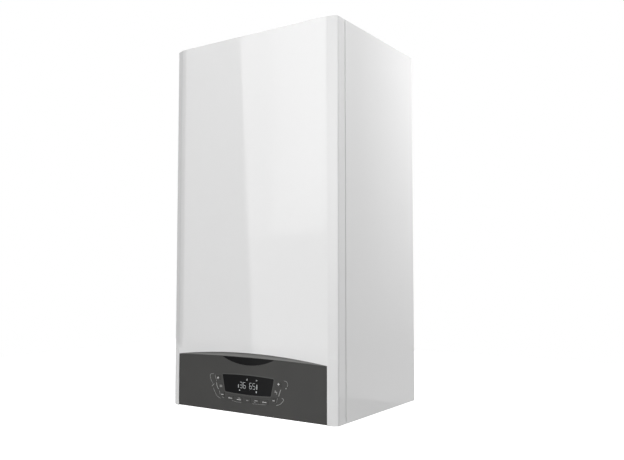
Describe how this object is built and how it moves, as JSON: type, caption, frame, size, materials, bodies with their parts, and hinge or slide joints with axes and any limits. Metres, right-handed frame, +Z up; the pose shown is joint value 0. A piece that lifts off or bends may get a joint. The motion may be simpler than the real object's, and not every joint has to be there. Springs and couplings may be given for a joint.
{
  "type": "combi boiler",
  "caption": "Wall-hung combi boiler: white steel case with a pull-off front, tilting arched control panel with keys and display, sealed burner circuit and water circuit inside.",
  "frame": {"origin": "on the wall plane, midway between the two wall fixing holes", "axes": "+Z up, +X to the right of someone facing the front, -Y out of the front, wall at Y = 0"},
  "size_m": [0.4, 0.3196, 0.77],
  "materials": {
    "case_paint": "satin white enamel",
    "plated_steel": "zinc plated sheet",
    "fastener_steel": "zinc plated",
    "panel_grey": "fine grained dark grey moulding",
    "gloss_black": "polished",
    "display_unit": "moulded",
    "circuit_board": "lacquered board",
    "box_plastic": "moulded",
    "vessel_paint": "red primer",
    "cast_aluminium": "as cast",
    "steel": "drawn sheet",
    "ceramic_fibre": "pressed fibre",
    "ceramic": "glazed",
    "black_plastic": "moulded",
    "grey_plastic": "moulded",
    "white_plastic": "moulded",
    "red_plastic": "moulded",
    "brass": "machined",
    "copper": "drawn copper tube",
    "yellow_pipe": "painted steel tube",
    "pump_paint": "cathodic paint",
    "hose_rubber": "smooth"
  },
  "bodies": {
    "cabinet": {"left_side_panel": "case_paint", "right_side_panel": "case_paint", "top_plate": "case_paint", "wall_bracket": "plated_steel", "rear_frame": "plated_steel", "bottom_plate": "plated_steel", "exchanger_shelf": "plated_steel", "door_bolts": "fastener_steel", "expansion_vessel": "vessel_paint", "exchanger_drum": "steel", "burner_tube": "steel", "door_insulation": "ceramic_fibre", "burner_door": "cast_aluminium", "electrodes": "ceramic", "fan_housing": "cast_aluminium", "fan_motor": "black_plastic", "gas_mixer": "grey_plastic", "intake_silencer": "black_plastic", "flue_duct": "white_plastic", "flue_collar": "cast_aluminium", "spark_generator": "black_plastic", "gas_valve": "cast_aluminium", "gas_pipes": "yellow_pipe", "connection_tails": "brass", "flow_group": "grey_plastic", "diverter_motor": "black_plastic", "plate_exchanger": "steel", "return_group": "grey_plastic", "pump_body": "grey_plastic", "pump_motor": "pump_paint", "primary_pipes": "copper", "vessel_hose": "hose_rubber", "condensate_hose": "grey_plastic", "condensate_trap": "white_plastic", "air_vent": "brass", "relief_valve": "brass", "filling_tap": "brass"},
    "front_casing": {"front_casing": "case_paint", "casing_screws": "fastener_steel"},
    "control_panel": {"control_fascia": "panel_grey", "display_window": "gloss_black", "badge_insert": "gloss_black", "display_module": "display_unit", "control_boards": "circuit_board", "control_box": "box_plastic"},
    "heating_plus_key": {"heating_plus_key": "panel_grey"},
    "heating_minus_key": {"heating_minus_key": "panel_grey"},
    "water_plus_key": {"water_plus_key": "panel_grey"},
    "water_minus_key": {"water_minus_key": "panel_grey"},
    "menu_key": {"menu_key": "panel_grey"},
    "timer_key": {"timer_key": "panel_grey"},
    "reset_key": {"reset_key": "panel_grey"},
    "boost_key": {"boost_key": "panel_grey"},
    "power_key": {"power_key": "panel_grey"},
    "fan_impeller": {"fan_impeller": "grey_plastic"},
    "pump_impeller": {"pump_impeller": "white_plastic"},
    "diverter_spindle": {"diverter_spindle": "steel"},
    "relief_knob": {"relief_knob": "red_plastic"},
    "filling_lever": {"filling_lever": "black_plastic"}
  },
  "joints": [
    {"name": "casing_pull", "type": "slide", "parent": "cabinet", "child": "front_casing", "axis": [0, -1, 0], "range_m": [0, 0.25]},
    {"name": "panel_tilt", "type": "hinge", "parent": "cabinet", "child": "control_panel", "pos_m": [0, -0.303, -0.687], "axis": [1, 0, 0], "range_deg": [0, 85]},
    {"name": "heating_plus_press", "type": "slide", "parent": "control_panel", "child": "heating_plus_key", "axis": [0, 1, 0], "range_m": [0, 0.0008], "stiffness_N_per_m": 500},
    {"name": "heating_minus_press", "type": "slide", "parent": "control_panel", "child": "heating_minus_key", "axis": [0, 1, 0], "range_m": [0, 0.0008], "stiffness_N_per_m": 500},
    {"name": "water_plus_press", "type": "slide", "parent": "control_panel", "child": "water_plus_key", "axis": [0, 1, 0], "range_m": [0, 0.0008], "stiffness_N_per_m": 500},
    {"name": "water_minus_press", "type": "slide", "parent": "control_panel", "child": "water_minus_key", "axis": [0, 1, 0], "range_m": [0, 0.0008], "stiffness_N_per_m": 500},
    {"name": "menu_press", "type": "slide", "parent": "control_panel", "child": "menu_key", "axis": [0, 1, 0], "range_m": [0, 0.0008], "stiffness_N_per_m": 500},
    {"name": "timer_press", "type": "slide", "parent": "control_panel", "child": "timer_key", "axis": [0, 1, 0], "range_m": [0, 0.0008], "stiffness_N_per_m": 500},
    {"name": "reset_press", "type": "slide", "parent": "control_panel", "child": "reset_key", "axis": [0, 1, 0], "range_m": [0, 0.0008], "stiffness_N_per_m": 500},
    {"name": "boost_press", "type": "slide", "parent": "control_panel", "child": "boost_key", "axis": [0, 1, 0], "range_m": [0, 0.0008], "stiffness_N_per_m": 500},
    {"name": "power_press", "type": "slide", "parent": "control_panel", "child": "power_key", "axis": [0, 1, 0], "range_m": [0, 0.0008], "stiffness_N_per_m": 500},
    {"name": "fan_spin", "type": "hinge", "parent": "cabinet", "child": "fan_impeller", "pos_m": [-0.12, -0.228, -0.152], "axis": [0, 1, 0], "continuous": true},
    {"name": "pump_spin", "type": "hinge", "parent": "cabinet", "child": "pump_impeller", "pos_m": [0.137, -0.135, -0.545], "axis": [0, 1, 0], "continuous": true},
    {"name": "diverter_stroke", "type": "slide", "parent": "cabinet", "child": "diverter_spindle", "axis": [0, 1, 0], "range_m": [0, 0.006]},
    {"name": "relief_turn", "type": "hinge", "parent": "cabinet", "child": "relief_knob", "pos_m": [0.18, -0.12, -0.6], "axis": [1, 0, 0], "range_deg": [0, 90]},
    {"name": "filling_turn", "type": "hinge", "parent": "cabinet", "child": "filling_lever", "pos_m": [0.101, -0.13, -0.64], "axis": [0, 0, -1], "range_deg": [0, 90]}
  ]
}
